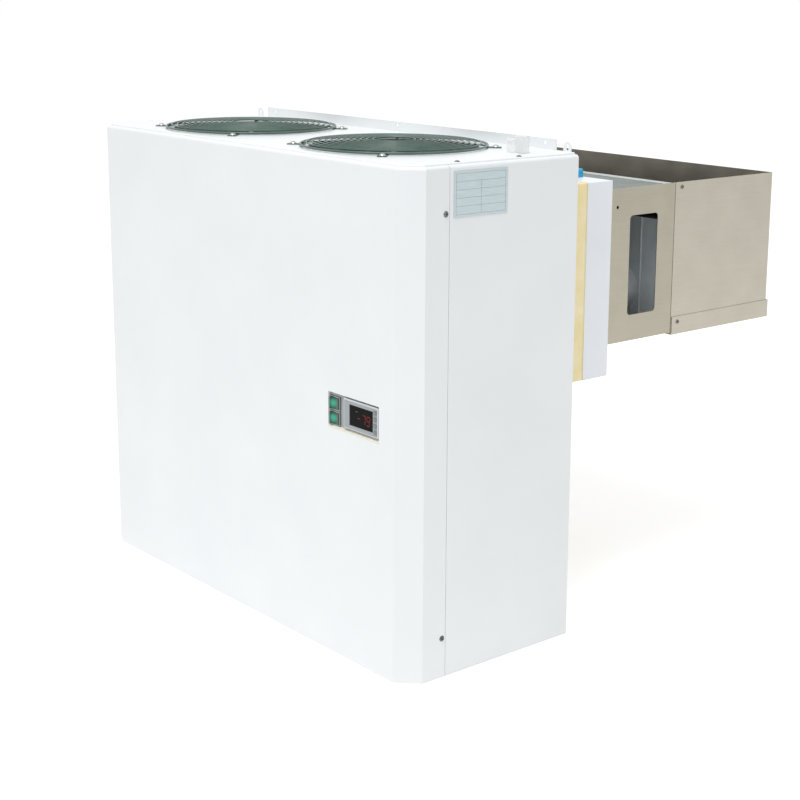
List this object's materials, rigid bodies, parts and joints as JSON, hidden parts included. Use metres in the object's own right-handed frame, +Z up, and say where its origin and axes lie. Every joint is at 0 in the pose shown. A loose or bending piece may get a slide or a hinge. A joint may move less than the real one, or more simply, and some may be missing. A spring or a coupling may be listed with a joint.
{
  "type": "through-wall refrigeration unit",
  "caption": "White through-wall cold-room cooling unit: fans on top of a sheet cabinet, an insulated wall plug and a stainless evaporator box behind.",
  "frame": {"origin": "on the wall plane (the outer face of the rear panel), at the middle of the cabinet's width and at its base", "axes": "+Z up, -Y the front with the control panel, +X to the right seen from the front, +Y into the cold room"},
  "size_m": [0.8448, 0.8163, 0.772],
  "materials": {
    "white_paint": "semi-gloss",
    "clad_paint": "satin",
    "galvanised": "satin",
    "stainless": "brushed",
    "screw_zinc": "satin",
    "guard_paint": "satin",
    "motor_paint": "satin",
    "black_paint": "satin",
    "core_iron": "rough",
    "fin_aluminium": "satin",
    "copper": "satin",
    "plate_silver": "satin",
    "rubber_black": "matte",
    "fan_plastic": "matte",
    "black_plastic": "matte",
    "grey_plastic": "matte",
    "cream_plastic": "matte",
    "panel_grey": "satin",
    "display_dark": "gloss",
    "key_grey": "matte",
    "rocker_green": "gloss",
    "clear_plastic": "gloss",
    "blue_plastic": "satin",
    "foam_yellow": "matte"
  },
  "bodies": {
    "unit": {"front_cover": "white_paint", "side_panel_left": "white_paint", "side_panel_right": "white_paint", "rear_panel": "white_paint", "base_pan": "galvanised", "top_panel": "white_paint", "cabinet_screws": "screw_zinc", "fan_guard_left": "guard_paint", "fan_guard_right": "guard_paint", "fan_motors": "motor_paint", "bell_mouths": "galvanised", "fan_plenum": "galvanised", "condenser_fins": "fin_aluminium", "condenser_tubes": "copper", "condenser_frame": "galvanised", "compressor_shell": "black_paint", "compressor_core": "core_iron", "compressor_mounts": "rubber_black", "terminal_cover": "black_plastic", "receiver": "black_paint", "refrigerant_pipes": "copper", "electrical_box": "grey_plastic", "electrical_lid": "grey_plastic", "electrical_parts": "cream_plastic", "panel_frame": "panel_grey", "panel_sill": "cream_plastic", "controller_bezel": "panel_grey", "controller_body": "black_plastic", "display_window": "display_dark", "switch_housings": "black_plastic", "data_plate": "plate_silver", "outlet_box": "clear_plastic", "outlet_connector": "clear_plastic", "cable_boot": "blue_plastic", "plug_foam": "foam_yellow", "plug_cladding": "clad_paint", "plug_backing": "galvanised", "tie_rods": "screw_zinc", "evap_fan_casing": "stainless", "evap_fan_cover": "stainless", "evap_shroud": "galvanised", "shroud_seal": "rubber_black", "evap_motors": "motor_paint", "evap_fins": "fin_aluminium", "evap_tubes": "copper", "evap_end_plates": "stainless", "coil_casing": "stainless", "drain_tray": "stainless", "defrost_heater": "stainless", "evap_screws": "screw_zinc"},
    "left_fan": {"fan_impeller_left": "fan_plastic"},
    "right_fan": {"fan_impeller_right": "fan_plastic"},
    "left_evaporator_fan": {"evap_impeller_left": "fan_plastic"},
    "right_evaporator_fan": {"evap_impeller_right": "fan_plastic"},
    "upper_rocker": {"rocker_upper": "rocker_green"},
    "lower_rocker": {"rocker_lower": "rocker_green"},
    "key_1": {"controller_key_1": "key_grey"},
    "key_2": {"controller_key_2": "key_grey"},
    "key_3": {"controller_key_3": "key_grey"},
    "key_4": {"controller_key_4": "key_grey"}
  },
  "joints": [
    {"name": "left_fan_spin", "type": "hinge", "parent": "unit", "child": "left_fan", "pos_m": [-0.19, -0.16, 0.723], "axis": [0, 0, 1], "continuous": true},
    {"name": "right_fan_spin", "type": "hinge", "parent": "unit", "child": "right_fan", "pos_m": [0.19, -0.16, 0.723], "axis": [0, 0, 1], "continuous": true},
    {"name": "left_evaporator_fan_spin", "type": "hinge", "parent": "unit", "child": "left_evaporator_fan", "pos_m": [-0.155, 0.249, 0.528], "axis": [0, 1, 0], "continuous": true},
    {"name": "right_evaporator_fan_spin", "type": "hinge", "parent": "unit", "child": "right_evaporator_fan", "pos_m": [0.155, 0.249, 0.528], "axis": [0, 1, 0], "continuous": true},
    {"name": "upper_rocker_tilt", "type": "hinge", "parent": "unit", "child": "upper_rocker", "pos_m": [0.2505, -0.3155, 0.3866], "axis": [0, 0, 1], "range_deg": [-18, 0]},
    {"name": "lower_rocker_tilt", "type": "hinge", "parent": "unit", "child": "lower_rocker", "pos_m": [0.2505, -0.3155, 0.3642], "axis": [0, 0, 1], "range_deg": [-18, 0]},
    {"name": "key_1_press", "type": "slide", "parent": "unit", "child": "key_1", "axis": [0, 1, 0], "range_m": [0, 0.0008], "stiffness_N_per_m": 400, "springref_m": -0.001},
    {"name": "key_2_press", "type": "slide", "parent": "unit", "child": "key_2", "axis": [0, 1, 0], "range_m": [0, 0.0008], "stiffness_N_per_m": 400, "springref_m": -0.001},
    {"name": "key_3_press", "type": "slide", "parent": "unit", "child": "key_3", "axis": [0, 1, 0], "range_m": [0, 0.0008], "stiffness_N_per_m": 400, "springref_m": -0.001},
    {"name": "key_4_press", "type": "slide", "parent": "unit", "child": "key_4", "axis": [0, 1, 0], "range_m": [0, 0.0008], "stiffness_N_per_m": 400, "springref_m": -0.001}
  ]
}
